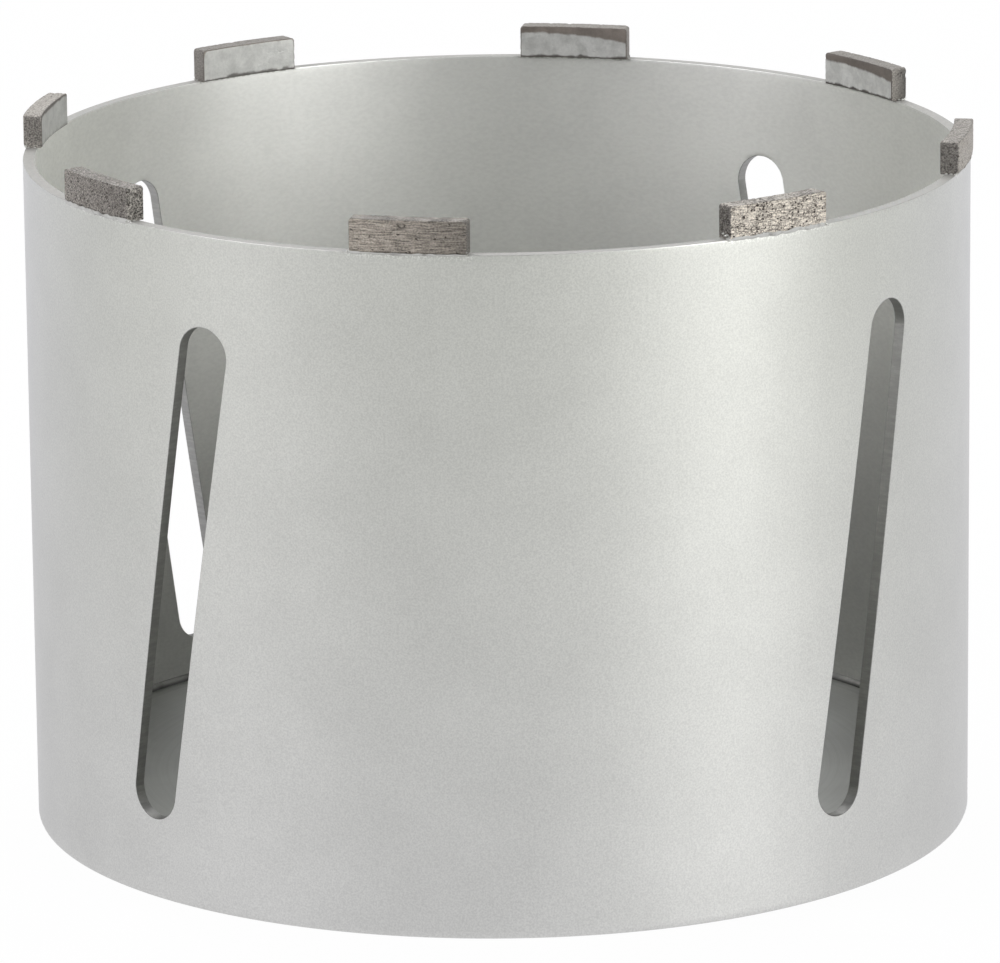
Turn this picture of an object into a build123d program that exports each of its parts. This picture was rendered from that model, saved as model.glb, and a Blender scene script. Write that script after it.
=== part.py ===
from build123d import *
from math import cos, radians, sin
import os

# Dry-cutting diamond core bit, standing on its closed end with the cutting segments up.
# Millimetres. The origin is the centre of the closed end's bottom face, and +Z runs along the
# axis to the cutting end. Angles are counted from -Y towards +X, in degrees.

# Barrel, a steel tube open at the cutting end
barrel_diameter = 200.0
barrel_wall = 2.5
barrel_height = 143.0
foot_chamfer = 0.5
mouth_outer_chamfer = 0.3
mouth_inner_chamfer = 0.4

# Dust slots cut through the barrel's wall, leaning the way the bit turns
slot_count = 4
slot_width = 12.0
slot_lean = 9.5
slot_foot_margin = 17.2  # bottom edge of the barrel to the slot's lower end
slot_head_margin = 19.1  # slot's upper end to the barrel's mouth
first_slot_angle = 0.0

# Base plate, a turned disc that closes the barrel
plate_thickness = 8.0
plate_fit_clearance = 0.05  # radial, plate in barrel
plate_foot_chamfer = 0.4

# Hub with the spindle thread, seated on the plate by a shoulder
hub_diameter = 40.0
hub_height = 18.0  # above the plate
hub_crown_chamfer = 1.5
spigot_diameter = 34.0
spigot_fit_clearance = 0.05  # radial, spigot in plate
thread_crest_diameter = 18.63
thread_root_diameter = 20.96
lead_in_clearance = 0.3  # radial, mouth of the lead-in outside the thread's root

# Weld beads inside the barrel
wall_weld_leg = 1.2
hub_weld_leg = 4.0
weld_hollow = 0.12  # how far the middle of a bead's face lies back, as a share of its leg

# Cutting segments, welded to the barrel's mouth
segment_count = 8
segment_length = 24.0  # straight across, from one flat end to the other
segment_thickness = 4.0
segment_height = 7.0
segment_overhang = 0.5  # outer face beyond the barrel's
segment_corner_radius = 0.7
segment_edge_chamfer = 0.25
first_segment_angle = 31.1

# Sizes that follow from the ones above
barrel_radius = barrel_diameter / 2
bore_radius = barrel_radius - barrel_wall
plate_radius = bore_radius - plate_fit_clearance
hub_radius = hub_diameter / 2
spigot_radius = spigot_diameter / 2
hub_top = plate_thickness + hub_height
crest_radius = thread_crest_diameter / 2
lead_in_radius = thread_root_diameter / 2 + lead_in_clearance
lead_in_depth = lead_in_radius - crest_radius
slot_rise = barrel_height - slot_foot_margin - slot_head_margin
slot_length = slot_width + (slot_rise - slot_width) / cos(radians(slot_lean))
slot_middle = slot_foot_margin + slot_rise / 2
segment_outer_radius = barrel_radius + segment_overhang
segment_inner_radius = segment_outer_radius - segment_thickness


def turned(*points):
    # Solid turned from a closed outline of (radius, height) points
    outline = Polyline(*points, close=True)
    return revolve(Plane.XZ * make_face(outline), Axis.Z)


def wall_plane(angle, height):
    # Plane that faces outwards at an angle, with its own X along the barrel and its Y upwards
    outward = (sin(radians(angle)), -cos(radians(angle)), 0)
    along = (cos(radians(angle)), sin(radians(angle)), 0)
    return Plane(origin=(0, 0, height), x_dir=along, z_dir=outward)


def spread(count, first):
    # Angles of a full ring of like features
    return [first + 360 / count * number for number in range(count)]


def barrel():
    tube = turned(
        (bore_radius, 0),
        (barrel_radius - foot_chamfer, 0),
        (barrel_radius, foot_chamfer),
        (barrel_radius, barrel_height - mouth_outer_chamfer),
        (barrel_radius - mouth_outer_chamfer, barrel_height),
        (bore_radius + mouth_inner_chamfer, barrel_height),
        (bore_radius, barrel_height - mouth_inner_chamfer),
    )
    slot = SlotOverall(slot_length, slot_width, rotation=90 - slot_lean)
    reach = barrel_radius + slot_width
    for angle in spread(slot_count, first_slot_angle):
        tube -= extrude(wall_plane(angle, slot_middle) * slot, reach)
    return tube


def base_plate():
    hole_radius = spigot_radius + spigot_fit_clearance
    return turned(
        (hole_radius, 0),
        (plate_radius - plate_foot_chamfer, 0),
        (plate_radius, plate_foot_chamfer),
        (plate_radius, plate_thickness),
        (hole_radius, plate_thickness),
    )


def hub():
    return turned(
        (lead_in_radius, 0),
        (spigot_radius, 0),
        (spigot_radius, plate_thickness),
        (hub_radius, plate_thickness),
        (hub_radius, hub_top - hub_crown_chamfer),
        (hub_radius - hub_crown_chamfer, hub_top),
        (lead_in_radius, hub_top),
        (crest_radius, hub_top - lead_in_depth),
        (crest_radius, lead_in_depth),
    )


def weld_bead(corner_radius, leg, side):
    # Hollow-faced bead where the plate meets a round wall, on the wall's outer side (1) or inner (-1)
    hollow = (0.5 - weld_hollow) * leg
    return turned(
        (corner_radius, plate_thickness),
        (corner_radius + side * leg, plate_thickness),
        (corner_radius + side * hollow, plate_thickness + hollow),
        (corner_radius, plate_thickness + leg),
    )


def segment(angle):
    # Arc of the cutting ring on the barrel's mouth, its two flat ends parallel, with rounded upper
    # corners and broken long edges
    ring = Circle(segment_outer_radius) - Circle(segment_inner_radius)
    strip = Pos(0, -segment_outer_radius) * Rectangle(segment_length, segment_outer_radius)
    block = extrude(Plane.XY.offset(barrel_height) * (ring & strip), segment_height)
    upper_corners = block.edges().filter_by(GeomType.LINE).group_by(Axis.Z)[-1]
    block = fillet(upper_corners, segment_corner_radius)
    long_faces = block.faces().filter_by(GeomType.CYLINDER).sort_by(SortBy.AREA)[-2:]
    foot_edges = block.faces().sort_by(Axis.Z)[0].edges()
    long_edges = [edge for face in long_faces for edge in face.edges() if edge not in foot_edges]
    block = chamfer(long_edges, segment_edge_chamfer)
    return Rot(0, 0, angle) * block


pieces = {
    "barrel": barrel(),
    "base_plate": base_plate(),
    "hub": hub(),
    "wall_weld": weld_bead(bore_radius, wall_weld_leg, -1),
    "hub_weld": weld_bead(hub_radius, hub_weld_leg, 1),
}
for number, angle in enumerate(spread(segment_count, first_segment_angle), start=1):
    pieces[f"segment_{number}"] = segment(angle)

os.makedirs("parts", exist_ok=True)
for name, piece in pieces.items():
    export_step(piece, f"parts/{name}.step")
    print(name, "volume", round(piece.volume, 1), "mm3")
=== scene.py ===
from math import asin, atan2, cos, degrees, pi, radians, sin, sqrt

import bmesh
import bpy
from mathutils import Matrix, Vector, noise


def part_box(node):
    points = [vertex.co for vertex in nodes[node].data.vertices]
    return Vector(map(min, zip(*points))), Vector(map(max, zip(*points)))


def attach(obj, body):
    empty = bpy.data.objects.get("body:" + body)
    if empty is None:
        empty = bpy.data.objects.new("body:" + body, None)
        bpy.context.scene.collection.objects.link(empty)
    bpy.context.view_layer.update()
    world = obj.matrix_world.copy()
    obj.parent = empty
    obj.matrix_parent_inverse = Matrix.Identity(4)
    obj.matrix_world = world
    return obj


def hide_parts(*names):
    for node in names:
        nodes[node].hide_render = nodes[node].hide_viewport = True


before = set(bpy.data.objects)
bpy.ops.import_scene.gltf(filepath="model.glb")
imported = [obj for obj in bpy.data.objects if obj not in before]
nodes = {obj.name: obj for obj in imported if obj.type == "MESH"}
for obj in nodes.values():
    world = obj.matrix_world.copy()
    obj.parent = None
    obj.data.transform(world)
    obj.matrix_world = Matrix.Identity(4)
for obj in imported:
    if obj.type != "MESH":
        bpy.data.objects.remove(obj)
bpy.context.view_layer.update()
mm = 0.001
print("frame loaded,", len(nodes), "nodes")


# Sizes that come from the frame

def reach(name):
    # nearest and farthest distance of a node's vertices from the axis
    distances = [vert.co.to_2d().length for vert in nodes[name].data.vertices]
    return min(distances), max(distances)


def aroundAxis(x, y):
    # angle from -Y towards +X, in degrees, as the slots and segments are counted
    return degrees(atan2(x, -y))


def segmentPlace(name):
    # middle angle and length of a segment, from its own vertices
    low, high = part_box(name)
    rough = aroundAxis((low.x + high.x) / 2, (low.y + high.y) / 2)
    turn = Matrix.Rotation(radians(-rough), 3, "Z")
    angles = [aroundAxis(*(turn @ vert.co).to_2d()) for vert in nodes[name].data.vertices]
    middle = rough + (min(angles) + max(angles)) / 2
    turn = Matrix.Rotation(radians(-middle), 3, "Z")
    along = [(turn @ vert.co).x for vert in nodes[name].data.vertices]
    return middle, max(along) - min(along)


boreRadius, barrelRadius = reach("barrel")
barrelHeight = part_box("barrel")[1].z
plateRadius = reach("base_plate")[1]
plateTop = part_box("base_plate")[1].z
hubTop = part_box("hub")[1].z
segmentNames = sorted(name for name in nodes if name.startswith("segment_"))
segmentInner, segmentOuter = reach(segmentNames[0])
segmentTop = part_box(segmentNames[0])[1].z
segmentPlaces = {name: segmentPlace(name) for name in segmentNames}
print("barrel radius", round(barrelRadius / mm, 2), "mm, segments at",
      [round(place[0], 1) for place in segmentPlaces.values()])


# Camera, where the photographer stood

cameraSettings = {
    "azimuth": 41.5,  # round from -Y towards +X
    "distance": 1.678,
    "height": 0.5068,
    "pitch": 14.578,
    "roll": -0.565,
    "lens": 292.3,
}
cameraTurn = radians(cameraSettings["azimuth"])
towardsCamera = (sin(cameraTurn), -cos(cameraTurn), 0.0)


def placeObject(name, data):
    made = bpy.data.objects.new(name, data)
    bpy.context.scene.collection.objects.link(made)
    return made


def placeCamera():
    s = cameraSettings
    data = bpy.data.cameras.new("photoCamera")
    data.lens = s["lens"]
    data.sensor_width = 36
    camera = placeObject("photoCamera", data)
    stand = Matrix.Translation(Vector(towardsCamera) * s["distance"] + Vector((0, 0, s["height"])))
    aim = (Matrix.Rotation(cameraTurn, 4, "Z")
           @ Matrix.Rotation(radians(90 - s["pitch"]), 4, "X")
           @ Matrix.Rotation(radians(s["roll"]), 4, "Z"))
    camera.matrix_world = stand @ aim
    bpy.context.scene.camera = camera


placeCamera()
print("camera placed")


# Node helpers

def fillInputs(tree, node, inputs):
    for name, value in inputs.items():
        if isinstance(value, bpy.types.NodeSocket):
            tree.links.new(value, node.inputs[name])
        else:
            node.inputs[name].default_value = value


def addNode(tree, kind, inputs=None, **settings):
    made = tree.nodes.new("ShaderNode" + kind)
    for name, value in settings.items():
        setattr(made, name, value)
    fillInputs(tree, made, inputs or {})
    return made


def vectorMath(tree, operation, first, second=None, output=0):
    inputs = {0: first} if second is None else {0: first, 1: second}
    return addNode(tree, "VectorMath", inputs, operation=operation).outputs[output]


def split(tree, vector):
    return addNode(tree, "SeparateXYZ", {0: vector}).outputs


def noiseTexture(tree, vector, scale, detail, roughness):
    return addNode(tree, "TexNoise", {"Vector": vector, "Scale": scale, "Detail": detail,
                                      "Roughness": roughness}).outputs["Fac"]


def calc(tree, operation, first, second=0.0, clamp=False):
    made = addNode(tree, "Math", {0: first, 1: second}, operation=operation, use_clamp=clamp)
    return made.outputs[0]


def ramp(tree, value, low, high, to=(0.0, 1.0)):
    made = addNode(tree, "MapRange", {"Value": value, "From Min": low, "From Max": high,
                                      "To Min": to[0], "To Max": to[1]}, interpolation_type="SMOOTHSTEP")
    return made.outputs["Result"]


def times(tree, first, *others):
    for other in others:
        first = calc(tree, "MULTIPLY", first, other)
    return first


def blendColour(tree, factor, first, second, kind="MIX"):
    first, second = ((*side, 1) if isinstance(side, tuple) else side for side in (first, second))
    made = addNode(tree, "Mix", {"Factor": factor, 6: first, 7: second}, data_type="RGBA", blend_type=kind)
    return made.outputs[2]


def shaded(tree, colour, level):
    return blendColour(tree, 1.0, colour, level, "MULTIPLY")


def newGroup(name, inputs, outputs):
    # an input without a value is a vector; the others and every output are plain numbers
    group = bpy.data.node_groups.new(name, "ShaderNodeTree")
    for label, value in inputs.items():
        kind = "NodeSocketVector" if value is None else "NodeSocketFloat"
        socket = group.interface.new_socket(label, in_out="INPUT", socket_type=kind)
        if value is not None:
            socket.default_value = value
    for label in outputs:
        group.interface.new_socket(label, in_out="OUTPUT", socket_type="NodeSocketFloat")
    return group, group.nodes.new("NodeGroupInput").outputs, group.nodes.new("NodeGroupOutput")


def useGroup(tree, group, inputs):
    made = tree.nodes.new("ShaderNodeGroup")
    made.node_tree = group
    fillInputs(tree, made, inputs)
    return made.outputs


def startMaterial(name, look):
    # a look gives colour and roughness, and may say how metallic and how glossy the surface is
    material = bpy.data.materials.new(name)
    material.use_nodes = True
    material.diffuse_color = (*look["colour"], 1)
    tree = material.node_tree
    inputs = tree.nodes["Principled BSDF"].inputs
    inputs["Base Color"].default_value = (*look["colour"], 1)
    inputs["Metallic"].default_value = look.get("metallic", 1.0)
    inputs["Roughness"].default_value = look["roughness"]
    inputs["Specular IOR Level"].default_value = look.get("gloss", 0.5)
    return material, tree, addNode(tree, "TexCoord").outputs["Object"]


def finishMaterial(material, colour, rough, height, strength, distance=0.2 * mm):
    tree = material.node_tree
    bump = addNode(tree, "Bump", {"Strength": strength, "Distance": distance, "Height": height})
    fillInputs(tree, tree.nodes["Principled BSDF"],
               {"Base Color": colour, "Roughness": rough, "Normal": bump.outputs[0]})
    return material


# Shared effects

def makeGrain():
    # fine even grain of a blasted and plated surface
    group, given, out = newGroup("plateGrain", {"Position": None, "Size": 2600.0}, ("Grain", "Cloud"))
    fine = noiseTexture(group, given["Position"], given["Size"], 3.0, 0.65)
    cloudSize = times(group, given["Size"], 0.02)
    cloud = noiseTexture(group, given["Position"], cloudSize, 4.0, 0.55)
    fillInputs(group, out, {"Grain": fine, "Cloud": cloud})
    return group


def makeStreaks():
    # short marks drawn round the wall, fine in height
    group, given, out = newGroup("drawnMarks", {"Position": None, "Length": 700.0, "Fineness": 4.0},
                                 ("Marks",))
    stretch = addNode(group, "CombineXYZ", {"X": 1.0, "Y": 1.0, "Z": given["Fineness"]}).outputs[0]
    squeezed = vectorMath(group, "MULTIPLY", given["Position"], stretch)
    fillInputs(group, out, {"Marks": noiseTexture(group, squeezed, given["Length"], 3.0, 0.6)})
    return group


def makeHeat():
    # where the segments were welded: 1 on the wall just under them, fading outwards
    group, given, out = newGroup("weldHeat", {"Position": None, "First": 31.1, "Half sweep": 6.8,
                                              "Rim": 143 * mm, "Depth": 3 * mm}, ("Heat",))
    spacing = 360 / len(segmentNames)
    fade = 1.4  # degrees past a segment's end
    parts = split(group, given["Position"])
    angle = calc(group, "ARCTAN2", parts["X"], times(group, parts["Y"], -1.0))
    turned = calc(group, "SUBTRACT", calc(group, "DEGREES", angle), given["First"])
    shifted = calc(group, "ADD", turned, 360 + spacing / 2)
    folded = calc(group, "SUBTRACT", calc(group, "MODULO", shifted, spacing), spacing / 2)
    beside = calc(group, "SUBTRACT", calc(group, "ABSOLUTE", folded), given["Half sweep"])
    below = calc(group, "DIVIDE", calc(group, "SUBTRACT", given["Rim"], parts["Z"]), given["Depth"])
    nearSegment = ramp(group, beside, 0.0, fade, (1.0, 0.0))
    nearRim = ramp(group, below, 0.0, 1.0, (1.0, 0.0))
    fillInputs(group, out, {"Heat": times(group, nearSegment, nearRim)})
    return group


def makeGrit():
    # sintered matrix: dark pits where grit fell out, light grains that stand in it, partly painted glint
    group, given, out = newGroup("sinteredGrit", {"Position": None, "Size": 1500.0, "Share": 0.3},
                                 ("Pits", "Grains", "Mottle"))
    wander = addNode(group, "TexNoise", {"Vector": given["Position"], "Scale": 900.0, "Detail": 2.0})
    nudge = vectorMath(group, "MULTIPLY", wander.outputs["Color"], (0.6 * mm, 0.6 * mm, 0.6 * mm))
    moved = vectorMath(group, "ADD", given["Position"], nudge)
    lowPits = vectorMath(group, "MULTIPLY", moved, (1.0, 1.0, 1.35))

    def scattered(place, size, channel, choice, limit, near, far):
        # round cells, of which a share is chosen by a channel of their random colour
        cells = addNode(group, "TexVoronoi", {"Vector": place, "Scale": size})
        pick = addNode(group, "SeparateColor", {0: cells.outputs["Color"]}).outputs[channel]
        return times(group, ramp(group, cells.outputs["Distance"], near, far, (1.0, 0.0)),
                     calc(group, choice, pick, limit))

    pits = scattered(lowPits, given["Size"], "Red", "LESS_THAN", given["Share"], 0.15, 0.5)
    grains = scattered(moved, times(group, given["Size"], 1.35), "Green", "GREATER_THAN", 0.82, 0.1, 0.4)
    mottle = noiseTexture(group, given["Position"], 420.0, 6.0, 0.7)
    fillInputs(group, out, {"Pits": pits, "Grains": grains, "Mottle": mottle})
    return group


grainGroup = makeGrain()
streakGroup = makeStreaks()
heatGroup = makeHeat()
gritGroup = makeGrit()
print("shared effects built")


# Barrel: finishes

skinLook = {
    "colour": (0.672, 0.676, 0.634),
    "roughness": 0.42,
    "grainSize": 2600.0,
    "grain": (0.91, 1.09),  # how far the grain darkens and lightens the colour
    "clouds": (0.975, 1.02),
    "bump": 0.04,
}
boreLook = {
    "colour": (0.955, 0.959, 0.914),
    "metallic": 0.95,
    "roughness": 0.46,
    "grainSize": 1900.0,
    "marks": (0.95, 1.025),
    "clouds": (0.95, 1.03),
    "bump": 0.035,
    "depths": 0.72,  # share of the colour left at the closed end: painted shade, darker deeper in the bore
    "mouth": 0.97,  # share of the colour left at the very top of the mouth
}
cutLook = {
    "colour": (0.37, 0.37, 0.35),
    "pale": (0.46, 0.46, 0.435),
    "roughness": 0.48,
    "slotFoot": 0.5,  # share of the colour left in a slot's lower round
    "low": 0.86,  # and along its lower part
}
rimLook = {
    "colour": (0.41, 0.405, 0.375),
    "metallic": 0.18,
    "roughness": 0.55,
    "gloss": 0.3,
}
heatLook = {
    "colour": (0.16, 0.15, 0.13),  # smoke on the bore, just under the segments
    "spatter": (0.88, 0.88, 0.84),
    "skinDepth": 1.5 * mm,
    "boreDepth": 0.7 * mm,
}


def grainOn(tree, position, size):
    return useGroup(tree, grainGroup, {"Position": position, "Size": size})


def marksOn(tree, position, length, fineness):
    return useGroup(tree, streakGroup, {"Position": position, "Length": length,
                                        "Fineness": fineness})["Marks"]


def heatMask(tree, position, depth):
    firstAngle, length = segmentPlaces[segmentNames[0]]
    return useGroup(tree, heatGroup, {"Position": position, "First": firstAngle,
                                      "Half sweep": degrees(asin(length / 2 / barrelRadius)),
                                      "Rim": barrelHeight, "Depth": depth})["Heat"]


def makeSkin():
    s = skinLook
    material, tree, position = startMaterial("platedSkin", s)
    grain = grainOn(tree, position, s["grainSize"])
    level = times(tree, ramp(tree, grain["Grain"], 0.3, 0.7, s["grain"]),
                  ramp(tree, grain["Cloud"], 0.3, 0.7, s["clouds"]))
    heat = heatMask(tree, position, heatLook["skinDepth"])
    spatter = times(tree, heat, ramp(tree, grain["Grain"], 0.50, 0.60))
    colour = blendColour(tree, spatter, shaded(tree, s["colour"], level), heatLook["spatter"])
    rough = ramp(tree, grain["Grain"], 0.25, 0.75, (s["roughness"] - 0.04, s["roughness"] + 0.06))
    return finishMaterial(material, colour, rough, grain["Grain"], s["bump"])


def makeBore():
    s = boreLook
    material, tree, position = startMaterial("drawnBore", s)
    grain = grainOn(tree, position, s["grainSize"])
    marks = marksOn(tree, position, 800.0, 1.8)
    up = split(tree, position)["Z"]
    level = times(tree, ramp(tree, marks, 0.3, 0.7, s["marks"]),
                  ramp(tree, grain["Cloud"], 0.3, 0.7, s["clouds"]),
                  # painted shade: the bore's colour darkens towards its closed end
                  ramp(tree, up, 40 * mm, 115 * mm, (s["depths"], 1.0)),
                  ramp(tree, up, 118 * mm, barrelHeight, (1.0, s["mouth"])))
    heat = heatMask(tree, position, heatLook["boreDepth"])
    burnt = times(tree, heat, ramp(tree, marks, 0.42, 0.58, (0.2, 0.9)))
    colour = blendColour(tree, burnt, shaded(tree, s["colour"], level), heatLook["colour"])
    rough = ramp(tree, marks, 0.25, 0.75, (s["roughness"] + 0.05, s["roughness"] - 0.04))
    return finishMaterial(material, colour, rough, marks, s["bump"])


def makeCut():
    # slot flanks: plated too, with a faint grain left by the cut across the wall
    s = cutLook
    material, tree, position = startMaterial("cutFlank", s)
    marks = marksOn(tree, position, 260.0, 6.0)
    grain = grainOn(tree, position, 2200.0)["Grain"]
    patches = times(tree, ramp(tree, marks, 0.4, 0.66), ramp(tree, grain, 0.3, 0.6))
    up = split(tree, position)["Z"]
    low = barrelSizes["slotFoot"]
    level = times(tree, ramp(tree, up, low, low + barrelSizes["slotWidth"] * 0.4, (s["slotFoot"], 1.0)),
                  ramp(tree, up, 20 * mm, 90 * mm, (s["low"], 1.0)))
    colour = shaded(tree, blendColour(tree, patches, s["colour"], s["pale"]), level)
    return finishMaterial(material, colour, ramp(tree, grain, 0.3, 0.7, (0.42, 0.58)), marks, 0.05)


def makeRim():
    # mouth: faced on the lathe, duller than the plated wall
    s = rimLook
    material, tree, position = startMaterial("facedMouth", s)
    grain = grainOn(tree, position, 1500.0)
    colour = shaded(tree, s["colour"], ramp(tree, grain["Grain"], 0.3, 0.7, (0.92, 1.06)))
    return finishMaterial(material, colour, ramp(tree, grain["Cloud"], 0.3, 0.7, (0.50, 0.62)),
                          grain["Grain"], 0.05)


# Barrel: form

barrelSizes = {
    "slots": 4,
    "slotWidth": 12 * mm,
    "slotLean": radians(9.5),
    "slotFoot": 17.2 * mm,  # foot of the barrel to the slot
    "slotHead": 19.1 * mm,  # slot to the mouth
    "roundSteps": 48,  # in each round end, and along a quarter of the mouth
    "sideSteps": 30,
    "rings": 22,  # rings of faces from a slot out to the quarter's edge
    "band": 1.6 * mm,  # plain band at the mouth and the foot, where the edges are broken
    "footBevel": 0.5 * mm,
    "mouthBevel": 0.18 * mm,
    "mouthInnerBevel": 0.18 * mm,
    "slotBevel": 0.14 * mm,
    "slotInnerBevel": 0.16 * mm,
}


def swing(bm, vert, centre, steps):
    # draws half a circle of edges from a vertex, and gives the vertex it ends at
    drawn = bmesh.ops.spin(bm, geom=[vert], cent=centre, axis=(0, -1, 0), angle=pi, steps=steps)
    return next(item for item in drawn["geom_last"] if isinstance(item, bmesh.types.BMVert))


def slotOutline(bm):
    s = barrelSizes
    rise = barrelHeight - s["slotHead"] - s["slotFoot"]
    half = s["slotWidth"] / 2
    straight = (rise - s["slotWidth"]) / cos(s["slotLean"]) / 2
    rightTop = bm.verts.new((half, 0, straight))
    leftTop = swing(bm, rightTop, (0, 0, straight), s["roundSteps"])
    leftFoot = bm.verts.new((-half, 0, -straight))
    rightFoot = swing(bm, leftFoot, (0, 0, -straight), s["roundSteps"])
    sides = [bm.edges.new((leftTop, leftFoot)), bm.edges.new((rightFoot, rightTop))]
    bmesh.ops.subdivide_edges(bm, edges=sides, cuts=s["sideSteps"] - 1)
    lean = Matrix.Rotation(s["slotLean"], 3, "Y")
    bmesh.ops.rotate(bm, verts=bm.verts, cent=(0, 0, 0), matrix=lean)
    bmesh.ops.translate(bm, verts=bm.verts, vec=(0, 0, s["slotFoot"] + rise / 2))


def slottedSkin(radius):
    # a quarter of the wall drawn flat round its slot, laid back on the tube and repeated round it
    s = barrelSizes
    bm = bmesh.new()
    slotOutline(bm)
    side = radius * sin(pi / s["slots"])
    low, high = s["band"], barrelHeight - s["band"]
    corners = [bm.verts.new((x, 0, z)) for x, z in ((-side, low), (side, low), (side, high), (-side, high))]
    frameEdges = [bm.edges.new((corners[k], corners[(k + 1) % 4])) for k in range(4)]
    bmesh.ops.subdivide_edges(bm, edges=[frameEdges[0], frameEdges[2]], cuts=s["roundSteps"] - 1)
    bmesh.ops.subdivide_edges(bm, edges=[frameEdges[1], frameEdges[3]], cuts=s["sideSteps"] - 1)
    spokes = bmesh.ops.bridge_loops(bm, edges=bm.edges[:])["edges"]
    bmesh.ops.subdivide_edges(bm, edges=spokes, cuts=s["rings"] - 1, use_grid_fill=True)
    for vert in bm.verts:
        vert.co.y = -sqrt(radius ** 2 - vert.co.x ** 2)
    quarters = s["slots"] - 1
    bmesh.ops.spin(bm, geom=bm.verts[:] + bm.edges[:] + bm.faces[:], cent=(0, 0, 0), axis=(0, 0, 1),
                   angle=2 * pi * quarters / s["slots"], steps=quarters, use_duplicate=True)
    bmesh.ops.remove_doubles(bm, verts=bm.verts, dist=0.001 * mm)
    mesh = bpy.data.meshes.new("barrelSkin")
    bm.to_mesh(mesh)
    bm.free()
    return mesh


def vertsOf(grown):
    return [item for item in grown if isinstance(item, bmesh.types.BMVert)]


def openEdges(bm, low, high):
    # boundary edges that lie wholly between two heights
    return [edge for edge in bm.edges
            if edge.is_boundary and all(low < vert.co.z < high for vert in edge.verts)]


def bevelEdges(bm, edges, offset, segments=2):
    bmesh.ops.bevel(bm, geom=edges, offset=offset, offset_type="OFFSET", segments=segments, profile=0.5,
                    affect="EDGES", material=-1, clamp_overlap=True)


def edgesAt(bm, radius, height):
    # ring of edges at a radius and a height
    return [edge for edge in bm.edges if all(
        abs(vert.co.to_2d().length - radius) < 0.02 * mm and abs(vert.co.z - height) < 0.02 * mm
        for vert in edge.verts)]


def finishPiece(bm, name, materials, sharp=32, weighted=False):
    bmesh.ops.recalc_face_normals(bm, faces=bm.faces)
    mesh = bpy.data.meshes.new(name)
    bm.to_mesh(mesh)
    bm.free()
    for material in materials:
        mesh.materials.append(material)
    mesh.shade_smooth()
    mesh.set_sharp_from_angle(angle=radians(sharp))
    piece = placeObject(name, mesh)
    if weighted:
        # large faces stay flat to the eye right up to their bevels
        modifier = piece.modifiers.new("flatFaces", "WEIGHTED_NORMAL")
        modifier.keep_sharp = True
    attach(piece, "root")
    print(name, len(mesh.polygons), "faces")
    return piece


def makeBarrel():
    s = barrelSizes
    bm = bmesh.new()
    for radius in (barrelRadius, boreRadius):
        bm.from_mesh(slottedSkin(radius))
    small = 0.1 * mm
    band = s["band"]
    for height, rise in ((barrelHeight - band, band), (band, -band)):
        # the outer skin's edge is drawn on to the end, across the wall and back to the bore's
        ring = [edge for edge in openEdges(bm, height - small, height + small)
                if edge.verts[0].co.to_2d().length > barrelRadius - small]
        for share, move in ((1, rise), (boreRadius / barrelRadius, 0), (1, -rise)):
            grown = bmesh.ops.extrude_edge_only(bm, edges=ring)["geom"]
            ring = [item for item in grown if isinstance(item, bmesh.types.BMEdge) and item.is_boundary]
            drawn = vertsOf(grown)
            bmesh.ops.scale(bm, verts=drawn, vec=(share, share, 1))
            bmesh.ops.translate(bm, verts=drawn, vec=(0, 0, move))
    bmesh.ops.remove_doubles(bm, verts=bm.verts, dist=0.002 * mm)
    for number in range(s["slots"]):
        toSlot = Matrix.Rotation(2 * pi * number / s["slots"], 3, "Z") @ Vector((0, -1, 0))
        lips = [edge for edge in openEdges(bm, band + small, barrelHeight - band - small)
                if edge.verts[0].co.dot(toSlot) > boreRadius * 0.9]
        bmesh.ops.bridge_loops(bm, edges=lips)
    bmesh.ops.recalc_face_normals(bm, faces=bm.faces)

    def slotEdges(outer):
        # sharp edges of the slots, on the outside or in the bore
        return [edge for edge in bm.edges if band < edge.verts[0].co.z < barrelHeight - band
                and edge.calc_face_angle(0) > radians(50)
                and (edge.verts[0].co.to_2d().length > barrelRadius - small) == outer]

    bevelEdges(bm, slotEdges(False), s["slotInnerBevel"], 3)
    bevelEdges(bm, slotEdges(True), s["slotBevel"])
    bevelEdges(bm, edgesAt(bm, barrelRadius, 0), s["footBevel"])
    bevelEdges(bm, edgesAt(bm, barrelRadius, barrelHeight), s["mouthBevel"])
    bevelEdges(bm, edgesAt(bm, boreRadius, barrelHeight), s["mouthInnerBevel"])
    bmesh.ops.recalc_face_normals(bm, faces=bm.faces)
    middle = (barrelRadius + boreRadius) / 2
    for face in bm.faces:
        centre = face.calc_center_median()
        outwards = face.normal.dot(Vector((centre.x, centre.y, 0)).normalized())
        atSlot = band < centre.z < barrelHeight - band and abs(outwards) < 0.93
        face.material_index = 2 if atSlot else 0 if centre.to_2d().length > middle else 1
        if centre.z > barrelHeight - band and face.normal.z > 0.4:
            face.material_index = 3
    piece = finishPiece(bm, "slottedBarrel", [makeSkin(), makeBore(), makeCut(), makeRim()], weighted=True)
    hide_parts("barrel")


makeBarrel()


# Turned pieces

def drawOutline(bm, points, closed):
    # points are (radius, height)
    verts = [bm.verts.new((radius, 0, height)) for radius, height in points]
    ends = verts[1:] + verts[:1] if closed else verts[1:]
    return verts + [bm.edges.new(pair) for pair in zip(verts, ends)]


def lathe(bm, points, steps, closed=True):
    bmesh.ops.spin(bm, geom=drawOutline(bm, points, closed), cent=(0, 0, 0), axis=(0, 0, 1), angle=2 * pi,
                   steps=steps, use_merge=True)


plateSizes = {
    "hole": 17.05 * mm,
    "footChamfer": 0.4 * mm,
    "edge": 0.15 * mm,
    "steps": 192,
}
plateLook = {
    "colour": (0.285, 0.29, 0.275),
    "roughness": 0.50,
    "pitch": 0.35 * mm,  # between two passes of the turning tool
    "rings": (0.994, 1.006),  # darkest and lightest ring
}


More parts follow.
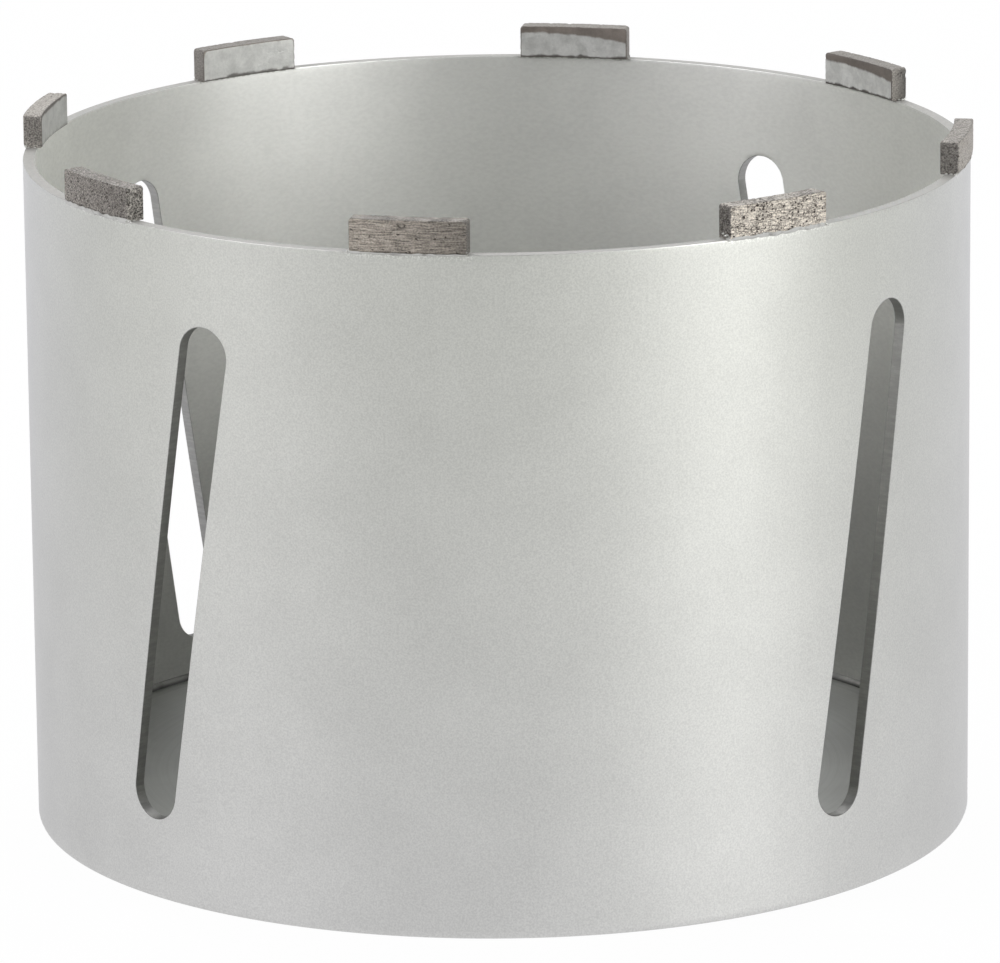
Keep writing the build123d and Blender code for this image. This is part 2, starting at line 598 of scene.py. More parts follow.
def makeTurned(name, look):
    # faced on a lathe: fine rings round the axis
    material, tree, position = startMaterial(name, look)
    flat = vectorMath(tree, "MULTIPLY", position, (1.0, 1.0, 0.0))
    along = calc(tree, "ADD", vectorMath(tree, "LENGTH", flat, output="Value"), split(tree, position)["Z"])
    passes = calc(tree, "SINE", times(tree, along, 2 * pi / look["pitch"]))
    onlyAlong = addNode(tree, "CombineXYZ", {"X": along, "Y": 0.0, "Z": 0.0}).outputs[0]
    uneven = noiseTexture(tree, onlyAlong, 900.0, 4.0, 0.7)
    grain = grainOn(tree, position, 1800.0)
    level = times(tree, ramp(tree, uneven, 0.25, 0.75, look["rings"]),
                  ramp(tree, grain["Cloud"], 0.3, 0.7, (0.92, 1.04)))
    rough = ramp(tree, uneven, 0.25, 0.75, (look["roughness"] + 0.06, look["roughness"] - 0.05))
    height = calc(tree, "ADD", times(tree, passes, 0.35), uneven)
    return finishMaterial(material, shaded(tree, look["colour"], level), rough, height, 0.12, 0.1 * mm)


def makePlate():
    s = plateSizes
    bm = bmesh.new()
    lathe(bm, [(s["hole"], 0), (plateRadius, 0), (plateRadius, plateTop), (s["hole"], plateTop)], s["steps"])
    bmesh.ops.recalc_face_normals(bm, faces=bm.faces)
    bevelEdges(bm, edgesAt(bm, plateRadius, 0), s["footChamfer"], 1)
    for radius, height in ((s["hole"], 0), (s["hole"], plateTop), (plateRadius, plateTop)):
        bevelEdges(bm, edgesAt(bm, radius, height), s["edge"])
    piece = finishPiece(bm, "facedPlate", [makeTurned("facedSteel", plateLook)], weighted=True)
    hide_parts("base_plate")


makePlate()

hubSizes = {
    "radius": 20 * mm,
    "spigot": 17 * mm,
    "crown": 1.5 * mm,
    "crest": 9.315 * mm,
    "root": 10.48 * mm,
    "leadIn": 10.78 * mm,
    "pitch": 1.814 * mm,
    "steps": 72,
    "edge": 0.2 * mm,
}
hubLook = {
    "colour": (0.46, 0.465, 0.45),
    "roughness": 0.5,
    "pitch": 0.25 * mm,
    "rings": (0.86, 1.06),
}


def makeHub():
    s = hubSizes
    bm = bmesh.new()
    # thread: one ridge, swept round and up, turn on turn
    pitch = s["pitch"]
    ridge = [(s["root"], 0), (s["root"], 0.14), (s["crest"] + 0.06 * mm, 0.44), (s["crest"], 0.5),
             (s["crest"] + 0.06 * mm, 0.56), (s["root"], 0.86), (s["root"], 1)]
    ridge = drawOutline(bm, [(radius, (share - 1) * pitch) for radius, share in ridge], False)
    turns = int(hubTop / pitch) + 2
    bmesh.ops.spin(bm, geom=ridge, cent=(0, 0, 0), axis=(0, 0, 1), dvec=(0, 0, pitch / s["steps"]),
                   angle=2 * pi * turns, steps=s["steps"] * turns)
    bmesh.ops.remove_doubles(bm, verts=bm.verts, dist=0.002 * mm)
    for height, upwards in ((0, -1), (hubTop, 1)):
        everything = bm.verts[:] + bm.edges[:] + bm.faces[:]
        bmesh.ops.bisect_plane(bm, geom=everything, plane_co=(0, 0, height), plane_no=(0, 0, upwards),
                               dist=0.001 * mm, clear_outer=True)
    for vert in bm.verts:
        # the lead-in cones turn the thread's ends away
        radius = vert.co.to_2d().length
        fromEnd = min(vert.co.z, hubTop - vert.co.z)
        wanted = max(radius, s["leadIn"] - fromEnd)
        vert.co.x *= wanted / radius
        vert.co.y *= wanted / radius
    # body outside the thread
    lathe(bm, [(s["spigot"], 0), (s["spigot"], plateTop), (s["radius"], plateTop),
               (s["radius"], hubTop - s["crown"]), (s["radius"] - s["crown"], hubTop)], s["steps"], False)
    small = 0.05 * mm
    for height in (0, hubTop):
        bmesh.ops.triangle_fill(bm, edges=openEdges(bm, height - small, height + small), use_beauty=True)
    bmesh.ops.recalc_face_normals(bm, faces=bm.faces)
    bevelEdges(bm, edgesAt(bm, s["radius"] - s["crown"], hubTop), s["edge"])
    bevelEdges(bm, edgesAt(bm, s["radius"], hubTop - s["crown"]), s["edge"])
    bevelEdges(bm, edgesAt(bm, s["spigot"], 0), s["edge"])
    piece = finishPiece(bm, "threadedHub", [makeTurned("turnedSteel", hubLook)], weighted=True)
    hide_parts("hub")


makeHub()


# Weld beads

hubBeadLook = {
    "colour": (0.34, 0.34, 0.32),
    "burnt": (0.24, 0.22, 0.20),
    "roughness": 0.4,
}
# bead in the bore's corner: a darker copy of the weld metal, painted shade
shadedWallBeadLook = {
    "colour": (0.23, 0.23, 0.22),
    "burnt": (0.18, 0.178, 0.17),
    "roughness": 0.5,
    "foot": 0.35,  # painted shadow: share of the colour left where the bead meets the plate
}


def makeWeldMetal(name, look):
    material, tree, position = startMaterial(name, look)
    grain = grainOn(tree, position, 1500.0)["Grain"]
    patches = noiseTexture(tree, position, 260.0, 4.0, 0.6)
    colour = blendColour(tree, ramp(tree, patches, 0.5, 0.68, (0.0, 0.8)), look["colour"], look["burnt"])
    # painted shadow: the bead darkens towards its foot on the plate
    if "foot" in look:
        up = split(tree, position)["Z"]
        paintedFootShadow = ramp(tree, up, plateTop + 0.15 * mm, plateTop + 0.8 * mm, (look["foot"], 1.0))
        colour = shaded(tree, colour, paintedFootShadow)
    return finishMaterial(material, colour, ramp(tree, patches, 0.3, 0.7, (0.32, 0.6)), grain, 0.3)


ringBeads = {
    "wallBead": {"node": "wall_weld", "radius": boreRadius, "leg": 1.2 * mm, "side": -1, "steps": 900,
                 "ripple": 1.1 * mm, "depth": 0.09 * mm, "crown": 0.62},
    "hubBead": {"node": "hub_weld", "radius": hubSizes["radius"], "leg": 4.0 * mm, "side": 1, "steps": 420,
                "ripple": 1.7 * mm, "depth": 0.22 * mm, "crown": 0.60},
}
beadSurface = {
    "ahead": 0.45,  # share of a ripple by which its crest runs on in the middle of the bead
    "sags": 180,  # to a metre
    "sag": 0.12,  # share of the leg
}
weldMetal = {
    "hubBead": makeWeldMetal("weldMetal", hubBeadLook),
    # the wall bead's material is the darker copy, with painted shade
    "wallBead": makeWeldMetal("dullWeld", shadedWallBeadLook),
}


def makeRingBead(name, s):
    # quarter-round bead in the corner of plate and wall, with the ripples of its passes
    bm = bmesh.new()
    leg, side, corner = s["leg"], s["side"], Vector((s["radius"], 0, plateTop))
    across = 8
    outline = [(s["radius"], plateTop)]
    for step in range(across + 1):
        share = step / across
        crown = 1 - (1 - s["crown"] * sqrt(2)) * sin(pi * share)  # hollow in the middle, as the solid's
        reachOut = leg * crown
        angle = share * pi / 2
        outline.append((s["radius"] + side * reachOut * cos(angle), plateTop + reachOut * sin(angle)))
    lathe(bm, outline, s["steps"])
    for vert in bm.verts:
        flat = Vector((vert.co.x, vert.co.y, 0))
        fromCorner = Vector((flat.length - corner.x, vert.co.z - corner.z))
        if fromCorner.length < leg * 0.2:
            continue
        along = atan2(vert.co.y, vert.co.x) * s["radius"]
        lean = sin(pi * min(1, abs(fromCorner.y) / leg))
        ripple = abs(sin(pi * (along / s["ripple"] + beadSurface["ahead"] * lean)))
        sag = beadSurface["sag"] * leg * max(0, noise.noise(vert.co * beadSurface["sags"]))
        sunk = (s["depth"] * (1 - ripple) + sag) * lean
        deeper = 1 - sunk / fromCorner.length
        radius = corner.x + fromCorner.x * deeper
        vert.co.x, vert.co.y = flat.normalized().x * radius, flat.normalized().y * radius
        vert.co.z = corner.z + fromCorner.y * deeper
    piece = finishPiece(bm, name, [weldMetal[name]], 60)
    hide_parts(s["node"])


for beadName, beadSizes in ringBeads.items():
    makeRingBead(beadName, beadSizes)


# Cutting segments

segmentSizes = {
    "columns": 72,
    "rows": 21,
    "layers": 12,
    "corner": 0.7 * mm,
    "footTaper": 0.9 * mm,  # height over which the outer face draws in to the wall
    "rough": 0.035 * mm,
    "swells": 1400,  # to a metre
    "pit": 0.30 * mm,
    "pits": 1100,
    "pitFrom": 0.28,  # noise above which a pit opens
    "innerWild": 0.2,  # share of both that the ground face has
    "calmFoot": 0.6 * mm,  # height over which both set in
}
segmentLook = {
    "colour": (0.286, 0.272, 0.246),
    "warm": (0.300, 0.272, 0.230),
    "dark": (0.070, 0.058, 0.048),
    "light": (0.52, 0.50, 0.45),
    # pale diamond grains, with painted glint
    "ground": (0.620, 0.622, 0.590),
    "brown": (0.232, 0.204, 0.178),
    "metallic": 0.6,
    "roughness": 0.55,
}
# what a segment has unless its own row says otherwise; lengths in mm
plainSegment = {
    # tone of each face; slant and foot shift the outer face's along its length and at its foot
    "outer": 1.20, "slant": 0.0, "foot": 0.0, "end": 0.80, "endSide": 0.0, "endFoot": 0.0, "top": 0.90,
    # strength of the marks, share of torn dark contours among them, degrees that they lean,
    # warmth of the outer face, how much of its marks run level, and wear of the long edges
    "grit": 0.5, "torn": 0.1, "lean": 0, "warm": 0.5, "drawn": 0.3, "edge": 0.25,
    # ground inner face: how far the brown top band reaches down at the two ends (lower and higher
    # angle), the margin at those ends, the corner's radius, the tones of metal and band, and the
    # strength of the dark gap along the foot
    "band": (0.6, 0.6), "margin": (0.3, 0.3), "corner": 0.8, "ground": 0.9, "brown": 0.9, "gap": 0.6,
    # weld seam: how far it reaches up the segment and down the wall, and how lumpy it is
    "seam": (0.30, 0.30, 0.08),
}
# drops are of weld metal: along the segment, depth from its outer face, height over its foot, size
segmentRows = {
    "segment_1": {
        "outer": 1.00, "end": 0.62, "top": 0.80, "slant": -0.32, "foot": 0.1, "grit": 1.3, "edge": 0.12,
        "warm": 1.0, "drawn": 1.0, "seam": (0.25, 0.30, 0.06),
        "drops": [(-12.5, 0.5, 0.0, 0.34), (-13.3, 0.5, -0.1, 0.20), (12.2, 0.1, -0.3, 0.28),
                  (12.0, 0.1, 0.6, 0.20)]},
    "segment_2": {
        "outer": 2.00, "end": 0.68, "top": 1.25, "foot": 0.7, "grit": 1.3, "torn": 1.0, "lean": -3,
        "edge": 0.12, "warm": 0.7, "drawn": 0.85, "endFoot": 0.9, "band": (0.6, 0.9),
        "seam": (0.60, 0.40, 0.10),
        "drops": [(-12.0, 0.7, 0.1, 0.55), (-12.0, 1.5, 0.7, 0.42), (-12.0, 2.4, 1.0, 0.36),
                  (-12.0, 1.0, 0.9, 0.30), (12.3, 0.2, 0.0, 0.32), (12.9, 0.3, -0.3, 0.18)]},
    "segment_3": {
        "outer": 1.45, "end": 0.68, "top": 1.06, "grit": 0.9, "torn": 0.3, "lean": 20, "edge": 0.40,
        "warm": 0.4, "band": (0.8, 0.6), "margin": (0.4, 0.3), "seam": (0.35, 0.35, 0.08),
        "drops": [(-12.1, 0.7, 0.0, 0.38), (-12.1, 1.6, 0.1, 0.36), (-12.0, 2.6, 0.1, 0.30)]},
    "segment_4": {
        "end": 0.72, "endSide": 0.42, "top": 0.88, "edge": 0.60, "band": (2.9, 1.6),
        "margin": (-1.0, -1.0), "corner": 0.3, "ground": 1.22, "brown": 1.05, "gap": 1.0,
        "seam": (0.35, 0.30, 0.08),
        "drops": [(-12.1, 1.2, 0.1, 0.42), (-12.1, 2.2, 0.2, 0.34)]},
    "segment_5": {
        "end": 1.00, "top": 0.95, "band": (3.3, 1.5), "margin": (-1.0, -1.0), "corner": 0.3,
        "ground": 1.00, "brown": 1.16, "gap": 0.9,
        "drops": [(12.0, 0.8, 0.1, 0.30), (-12.0, 2.8, 0.4, 0.22)]},
    "segment_6": {
        "end": 0.92, "top": 0.84, "band": (0.12, 0.12), "margin": (-0.2, 0.1), "corner": 1.8,
        "ground": 1.04, "brown": 1.3, "gap": 0.8,
        "drops": [(12.0, 1.4, 0.1, 0.30)]},
    "segment_7": {
        "outer": 1.10, "top": 1.30, "grit": 0.9, "torn": 0.2, "edge": 0.30, "endFoot": 1.6,
        "band": (0.45, 0.8), "margin": (0.0, 0.6), "corner": 1.4, "ground": 0.94, "brown": 0.7, "gap": 0.3,
        "seam": (0.35, 0.35, 0.08),
        "drops": [(12.1, 1.2, 0.0, 0.36), (12.0, 2.4, 0.1, 0.28)]},
    "segment_8": {
        "outer": 0.94, "end": 0.92, "top": 0.92, "slant": -0.16, "grit": 1.4, "torn": 0.6, "lean": 38,
        "edge": 0.12, "warm": 0.4, "drawn": 0.35, "seam": (0.40, 0.60, 0.13),
        "drops": [(12.1, 0.5, 0.1, 0.42), (12.6, 0.5, -0.1, 0.30), (11.5, 0.0, -0.2, 0.26),
                  (12.0, 1.6, 0.1, 0.32)]},
}
segments = {name: {**plainSegment, **row} for name, row in segmentRows.items()}


notGround = -10.0  # depth given to every vertex that is off the inner face
flatTo = 0.75  # share of a normal that counts it to one face


def makeSegmentMetal():
    s = segmentLook
    material, tree, _ = startMaterial("segmentMatrix", s)
    flat = addNode(tree, "Attribute", attribute_name="flat").outputs["Vector"]
    tone, ground, strength, tornShare, warm, level = (
        addNode(tree, "Attribute", attribute_name=name).outputs["Fac"]
        for name in ("tone", "ground", "grit", "torn", "warm", "level"))
    share = calc(tree, "ADD", 0.03, times(tree, tornShare, 0.30))
    grit = useGroup(tree, gritGroup, {"Position": flat, "Size": 1350.0, "Share": share})
    streaks, speckle, swirl = (marksOn(tree, flat, length, fineness)
                               for length, fineness in ((320.0, 11.0), (2500.0, 1.2), (700.0, 1.7)))
    # thin dark contours where the matrix tore between its grains
    offMiddle = calc(tree, "ABSOLUTE", calc(tree, "SUBTRACT", swirl, 0.5))
    torn = times(tree, ramp(tree, offMiddle, 0.004, 0.035, (1.0, 0.0)),
                 ramp(tree, grit["Mottle"], 0.40, 0.52), tornShare)
    # level marks of the press on some outer faces, even speckle elsewhere
    pressed = times(tree, ramp(tree, streaks, 0.3, 0.7, (-0.40, 0.40)), level)
    even = times(tree, ramp(tree, speckle, 0.32, 0.68, (-0.55, 0.55)),
                 ramp(tree, level, 0.0, 1.0, (1.0, 0.45)))
    marked = times(tree, calc(tree, "ADD", pressed, even), strength)
    shade = times(tree, tone, calc(tree, "ADD", 1.0, marked))
    matrix = shaded(tree, blendColour(tree, warm, s["colour"], s["warm"]), shade)
    matrix = blendColour(tree, calc(tree, "MULTIPLY", torn, 0.85, True), matrix, s["dark"])
    matrix = blendColour(tree, calc(tree, "MULTIPLY", grit["Pits"], strength, True), matrix, s["dark"])
    # light grains: diamond grains with painted glint on them
    glintShare = calc(tree, "MULTIPLY", times(tree, grit["Grains"], tone), 0.45, True)
    matrix = blendColour(tree, glintShare, matrix, s["light"])
    # inner face: ground pale below a smooth brown band; ground is the depth inside its edge, in mm
    soft = noiseTexture(tree, flat, 420.0, 3.0, 0.5)
    waver = calc(tree, "SUBTRACT", soft, 0.5)
    pale = ramp(tree, calc(tree, "ADD", ground, times(tree, waver, 1.1)), -0.28, 0.28)
    fine = grainOn(tree, flat, 1500.0)
    groundShade = times(tree, ramp(tree, soft, 0.3, 0.7, (0.88, 1.09)),
                        ramp(tree, fine["Grain"], 0.3, 0.7, (0.94, 1.05)))
    metal = shaded(tree, s["ground"], times(tree, groundShade, tone))
    band = shaded(tree, s["brown"], times(tree, groundShade, strength))
    # the dark gap left between the inner foot and the wall
    up = split(tree, flat)["Z"]
    jagged = calc(tree, "ADD", up, times(tree, waver, 1.6 * mm))
    gap = times(tree, ramp(tree, jagged, 0.32 * mm, 0.8 * mm, (0.9, 0.0)), tornShare)
    innerFace = blendColour(tree, gap, blendColour(tree, pale, band, metal), s["dark"])
    onInner = calc(tree, "GREATER_THAN", ground, notGround + 1)
    colour = blendColour(tree, onInner, matrix, innerFace)
    rough = calc(tree, "SUBTRACT", ramp(tree, grit["Mottle"], 0.3, 0.7, (0.5, 0.68)),
                 times(tree, onInner, 0.12))
    height = calc(tree, "ADD", times(tree, streaks, level), speckle)
    height = calc(tree, "SUBTRACT", height, grit["Pits"])
    height = calc(tree, "SUBTRACT", height, times(tree, torn, 0.6))
    height = calc(tree, "ADD", height, times(tree, grit["Grains"], 0.3))
    height = times(tree, height, ramp(tree, onInner, 0.0, 1.0, (1.0, 0.12)))
    return finishMaterial(material, colour, rough, height, 0.8)


segmentMetal = makeSegmentMetal()


def roundedEnds(verts, halfLength, top, corner):
    # draws the upper corners in on a circle, so that the grid's rows run round them
    for vert in verts:
        acrossCorner = abs(vert.co.x) - (halfLength - corner)
        aboveCorner = vert.co.z - (top - corner)
        if acrossCorner > 0 and aboveCorner > 0:
            pull = max(acrossCorner, aboveCorner) / sqrt(acrossCorner ** 2 + aboveCorner ** 2)
            side = 1 if vert.co.x > 0 else -1
            vert.co.x = side * (halfLength - corner + acrossCorner * pull)
            vert.co.z = top - corner + aboveCorner * pull


def faceTone(s, normal, place, length, height):
    # place is counted from the segment's middle, the outer face and the foot
    along, up = place.x / length * 2, place.z / height
    if normal.y > flatTo:
        return s["ground"]
    if normal.y < -flatTo:
        return s["outer"] + s["slant"] * along + s["foot"] * max(0, 0.45 - up)
    if abs(normal.x) > flatTo:
        across = place.y / (segmentOuter - segmentInner) * 2 - 1
        return s["end"] + s["endSide"] * across + s["endFoot"] * max(0, 0.3 - up)
    return s["top"]


def groundDepth(s, place, length, height):
    # depth inside the ground area's edge, in mm; negative outside it
    share = place.x / length + 0.5
    lowBand, highBand = s["band"]
    fromTop = (height - place.z) / mm - highBand - (lowBand - highBand) * max(0, 1 - share) ** 2.5
    fromEnd = min((place.x + length / 2) / mm - s["margin"][0], (length / 2 - place.x) / mm - s["margin"][1])
    corner = s["corner"]
    if fromTop < corner and fromEnd < corner:
        return corner - sqrt((corner - fromTop) ** 2 + (corner - fromEnd) ** 2)
    return min(fromTop, fromEnd)


def onRing(place, angle):
    # bends a point of the flat segment on the cutting ring, its ends kept parallel, and turns it there
    radius = segmentOuter - place.y
    bent = Vector((place.x, -sqrt(radius ** 2 - place.x ** 2), barrelHeight + place.z))
    return Matrix.Rotation(radians(angle), 3, "Z") @ bent


def makeSegment(name):
    s = segmentSizes
    look = segments[name]
    angle, length = segmentPlaces[name]
    number = int(name[-1])
    height = segmentTop - barrelHeight
    thickness = segmentOuter - segmentInner
    bm = bmesh.new()
    bmesh.ops.create_grid(bm, x_segments=s["columns"], y_segments=s["rows"], size=0.5)
    bmesh.ops.scale(bm, verts=bm.verts, vec=(length, height, 1))
    bmesh.ops.rotate(bm, verts=bm.verts, cent=(0, 0, 0), matrix=Matrix.Rotation(pi / 2, 3, "X"))
    bmesh.ops.translate(bm, verts=bm.verts, vec=(0, 0, height / 2))
    roundedEnds(bm.verts, length / 2, height, s["corner"])
    grown = bmesh.ops.extrude_face_region(bm, geom=bm.faces[:])["geom"]
    bmesh.ops.translate(bm, verts=vertsOf(grown), vec=(0, thickness, 0))
    bmesh.ops.recalc_face_normals(bm, faces=bm.faces)
    sharpEdges = [edge for edge in bm.edges if edge.calc_face_angle(0) > radians(50)]
    longEdges = [edge for edge in sharpEdges if abs(edge.verts[0].co.y - edge.verts[1].co.y) < 0.01 * mm]
    bevelEdges(bm, longEdges, look["edge"] * mm)
    crossEdges = [edge for edge in bm.edges if abs(edge.verts[0].co.y - edge.verts[1].co.y) > thickness / 2]
    bmesh.ops.subdivide_edges(bm, edges=crossEdges, cuts=s["layers"] - 1, use_grid_fill=True)
    bm.normal_update()
    seed = Vector((angle * 0.37, number, 3.1))
    lean = Matrix.Rotation(radians(look["lean"]), 3, "Y")
    flatLayer = bm.verts.layers.float_vector.new("flat")
    layers = {kind: bm.verts.layers.float.new(kind)
              for kind in ("ground", "tone", "grit", "torn", "warm", "level")}
    for vert in bm.verts:
        # y runs from the outer face (0) to the inner one
        inner, outer = vert.normal.y > flatTo, vert.normal.y < -flatTo
        vert[flatLayer] = (vert.co if inner else lean @ vert.co) + Vector((0.1 * number, 0, 0))
        values = {
            "ground": groundDepth(look, vert.co, length, height) if inner else notGround,
            "tone": faceTone(look, vert.normal, vert.co, length, height),
            "grit": look["brown"] if inner else look["grit"] * (1.15 if abs(vert.normal.x) > flatTo else 1),
            "torn": look["gap"] if inner else look["torn"],
            "warm": look["warm"] * (1 if outer else 0.4),
            "level": look["drawn"] if outer else look["drawn"] * 0.7 if vert.normal.z > flatTo else 0.15,
        }
        for kind, value in values.items():
            vert[layers[kind]] = value
    moves = []
    for vert in bm.verts:
        wild = s["innerWild"] if vert.normal.y > flatTo else 1
        wild *= min(1, vert.co.z / s["calmFoot"])
        swell = noise.noise(vert.co * s["swells"] + seed) * s["rough"]
        pitted = max(0, noise.noise(vert.co * s["pits"] - seed) - s["pitFrom"]) * s["pit"]
        moves.append((vert, vert.normal * wild * (swell - pitted)))
    for vert, move in moves:
        vert.co += move
    overhang = segmentOuter - barrelRadius
    for vert in bm.verts:
        # the foot of the outer face draws in to the wall
        drawn = max(0, 1 - vert.co.z / s["footTaper"]) ** 2
        vert.co.y += overhang * drawn * max(0, 1 - vert.co.y / (thickness / 2))
    for vert in bm.verts:
        vert.co = onRing(vert.co, angle)
    piece = finishPiece(bm, "cutting" + name.title().replace("_", ""), [segmentMetal], 50)
    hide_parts(name)


for segmentName in segmentNames:
    makeSegment(segmentName)


# Weld seams along the outer foot of the segments

seamSizes = {
    "proud": 0.08 * mm,
    "steps": 96,
    "past": 0.15 * mm,  # beyond each end of the segment
    "buried": 0.5 * mm,  # depth of its back in the metal
    "lap": 0.04 * mm,  # depth of its edges in the metal
    "wanders": 650,  # of its edges, to a metre
    "lumps": 1500,
    "dropLumps": 2600,
    "fade": 0.6 * mm,  # length over which an end fades
    "sunkEnd": 0.12 * mm,
}
seamLook = {
    "colour": (0.66, 0.66, 0.62),
    "burnt": (0.36, 0.35, 0.33),
    "roughness": 0.34,
}


def makeSeam(name):
    s = seamSizes
    angle, length = segmentPlaces[name]
    seed = Vector((angle, 4.2, 1.7))
    overhang = segmentOuter - barrelRadius
    half = length / 2 + s["past"]
    high, low, lumpy = (size * mm for size in segments[name]["seam"])
    # outline across the seam, as (depth from the segment's outer face, height over its foot)
    outline = [(s["buried"], high + s["lap"] / 2), (s["lap"], high)]
    for step in range(1, 6):
        share = step / 6
        proud = s["proud"] * sin(pi * share)
        outline.append((s["lap"] + overhang * share - proud, high - (high + low) * share))
    outline += [(overhang + s["lap"], -low), (overhang + s["buried"], -low)]
    bm = bmesh.new()
    verts = [bm.verts.new((-half, depth, up)) for depth, up in outline]
    cap = bm.faces.new(verts)
    ends = bmesh.ops.extrude_face_region(bm, geom=[cap])["geom"]
    bmesh.ops.translate(bm, verts=vertsOf(ends), vec=(2 * half, 0, 0))
    bmesh.ops.recalc_face_normals(bm, faces=bm.faces)
    runs = [edge for edge in bm.edges if abs(edge.verts[0].co.x - edge.verts[1].co.x) > half]
    bmesh.ops.subdivide_edges(bm, edges=runs, cuts=s["steps"] - 1, use_grid_fill=True)
    for vert in bm.verts:
        if vert.co.y < overhang + 0.3 * mm:
            # edges wander and the face is lumpy; both ends fade into the metal
            along = Vector((vert.co.x, 0, 0))
            lower = vert.co.z < 0
            wander = noise.noise(along * s["wanders"] + seed + Vector((0, 5 if lower else 0, 0)))
            vert.co.z += wander * (low if lower else high) * 0.8
            vert.co.y -= noise.noise(vert.co * s["lumps"] + seed) * lumpy
            fade = max(0, abs(vert.co.x) - (half - s["fade"])) / s["fade"]
            vert.co.y += s["sunkEnd"] * fade ** 2
    for x, depth, up, size in segments[name]["drops"]:
        drop = bmesh.ops.create_icosphere(bm, subdivisions=2, radius=size * mm)["verts"]
        for vert in drop:
            vert.co *= 1 + 0.5 * noise.noise(vert.co * s["dropLumps"] + seed)
            vert.co.z *= 0.7
        bmesh.ops.translate(bm, verts=drop, vec=(x * mm, depth * mm, up * mm))
    for vert in bm.verts:
        vert.co = onRing(vert.co, angle)
    piece = finishPiece(bm, "weldSeam" + name[-1], [seamMetal], 60)


seamMetal = makeWeldMetal("seamMetal", seamLook)
for segmentName in segmentNames:
    makeSeam(segmentName)


# Floor, lamps and world

studio = {
    "floorSize": 14.0,
    "floorColour": (0.80, 0.80, 0.80),
    "floorWhite": 0.97,  # share of plain white that the camera sees in the floor
    # how bright the object's reflections see the floor: beside it, and far behind and before it
    "floorNear": 0.835,
    "floorBehind": 0.98,
    "floorBefore": 0.84,
    "worldBehind": 0.80,
    "worldBefore": 0.20,
    "reflected": (0.965, 0.98, 1.03),  # tint of what the metal reflects in the room
    "nearTint": (0.987, 0.98, 1.038),  # and in the three parts of the floor
    "behindTint": (0.982, 0.98, 1.072),
    "beforeTint": (0.966, 0.98, 0.939),
}


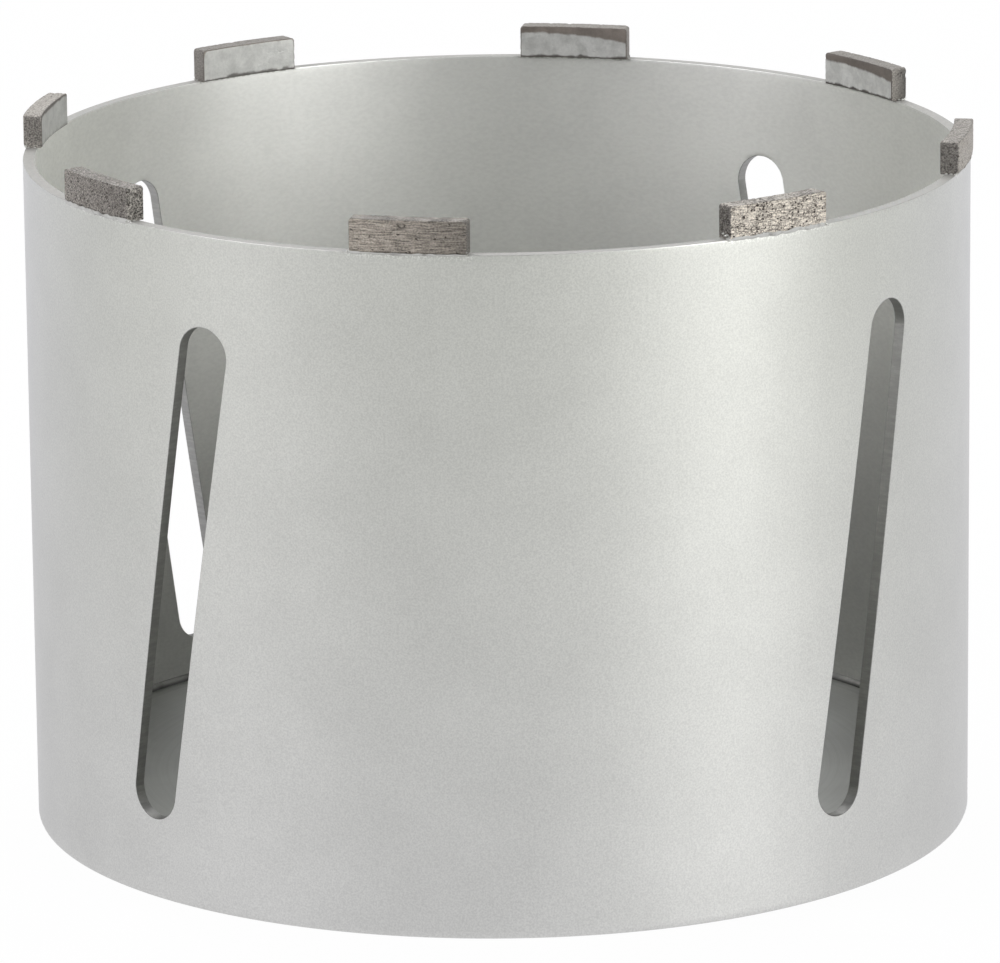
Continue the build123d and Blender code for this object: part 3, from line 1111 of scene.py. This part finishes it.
def makeFloor():
    s = studio
    bm = bmesh.new()
    bmesh.ops.create_grid(bm, x_segments=1, y_segments=1, size=s["floorSize"] / 2)
    mesh = bpy.data.meshes.new("studioFloor")
    bm.to_mesh(mesh)
    bm.free()
    material = bpy.data.materials.new("paleFloor")
    material.use_nodes = True
    tree = material.node_tree
    tree.nodes.clear()
    diffuse = addNode(tree, "BsdfDiffuse", {"Color": (*s["floorColour"], 1)})
    # plain white to the camera; grey in reflections, brighter the farther behind the object
    position = addNode(tree, "TexCoord").outputs["Object"]
    before = vectorMath(tree, "DOT_PRODUCT", position, towardsCamera, "Value")
    away = vectorMath(tree, "LENGTH", position, output="Value")
    facing = calc(tree, "DIVIDE", before, calc(tree, "ADD", away, 0.01))
    far = ramp(tree, facing, -1.0, 0.2, (s["floorBehind"], s["floorBefore"]))
    farTint = blendColour(tree, ramp(tree, facing, -1.0, 0.2), s["behindTint"], s["beforeTint"])
    shareFar = ramp(tree, away, 0.10, 0.9)
    glow = calc(tree, "ADD", times(tree, far, shareFar),
                times(tree, calc(tree, "SUBTRACT", 1.0, shareFar), s["floorNear"]))
    path = addNode(tree, "LightPath").outputs
    level = calc(tree, "ADD", path["Is Camera Ray"],
                 times(tree, calc(tree, "SUBTRACT", 1.0, path["Is Camera Ray"]), glow))
    seenTint = blendColour(tree, shareFar, s["nearTint"], farTint)
    tint = blendColour(tree, path["Is Camera Ray"], seenTint, (1, 1, 1))
    white = addNode(tree, "Emission", {"Color": tint, "Strength": level})
    seen = calc(tree, "MAXIMUM", times(tree, path["Is Camera Ray"], s["floorWhite"]),
                calc(tree, "MAXIMUM", path["Is Glossy Ray"], path["Is Transmission Ray"]))
    mixed = addNode(tree, "MixShader", {0: seen, 1: diffuse.outputs[0], 2: white.outputs[0]})
    addNode(tree, "OutputMaterial", {"Surface": mixed.outputs[0]})
    mesh.materials.append(material)
    floor = placeObject("studioFloor", mesh)
    floor.location.z = -0.2 * mm


def makeWorld():
    # a white room that is dimmer where the photographer stands; the camera sees plain white
    world = bpy.data.worlds.new("studioWorld")
    world.use_nodes = True
    tree = world.node_tree
    tree.nodes.clear()
    direction = addNode(tree, "TexCoord").outputs["Generated"]
    towards = vectorMath(tree, "DOT_PRODUCT", direction, towardsCamera, "Value")
    level = ramp(tree, towards, -1.0, -0.2, (studio["worldBehind"], studio["worldBefore"]))
    white = addNode(tree, "Background", {"Color": (1, 1, 1, 1), "Strength": 1.0})
    around = addNode(tree, "Background", {"Color": (*studio["reflected"], 1), "Strength": level})
    path = addNode(tree, "LightPath").outputs
    mixed = addNode(tree, "MixShader", {0: path["Is Camera Ray"], 1: around.outputs[0],
                                        2: white.outputs[0]})
    addNode(tree, "OutputWorld", {"Surface": mixed.outputs[0]})
    bpy.context.scene.world = world


def softLamp(name, azimuth, distance, height, width, tall, power, colour):
    # soft panel that faces the object
    data = bpy.data.lights.new(name, "AREA")
    data.color = colour
    data.shape = "RECTANGLE"
    data.size, data.size_y, data.energy = width, tall, power
    lamp = placeObject(name, data)
    turn = cameraTurn + radians(azimuth)
    lamp.location = (distance * sin(turn), -distance * cos(turn), height)
    lamp.rotation_euler = (Vector((0, 0, 0.08)) - lamp.location).to_track_quat("-Z", "Y").to_euler()


# azimuth from the camera's, distance, height, width, how tall, power and colour
panels = {
    "keyPanel": (54, 2.6, 1.0, 1.5, 2.0, 45.5, (1.0, 1.0, 1.01)),
    "fillPanel": (-64, 2.6, 1.0, 1.5, 2.0, 15, (1.02, 1.0, 1.08)),
    "highPanel": (-64, 2.2, 2.0, 1.5, 1.5, 29, (1.02, 1.0, 1.06)),
    "backPanel": (180, 1.0, 2.2, 1.6, 1.2, 32, (1.0, 1.0, 1.02)),
}
makeFloor()
makeWorld()
for panelName, panel in panels.items():
    softLamp(panelName, *panel)
bpy.context.scene.view_settings.view_transform = "Standard"
print("studio set")
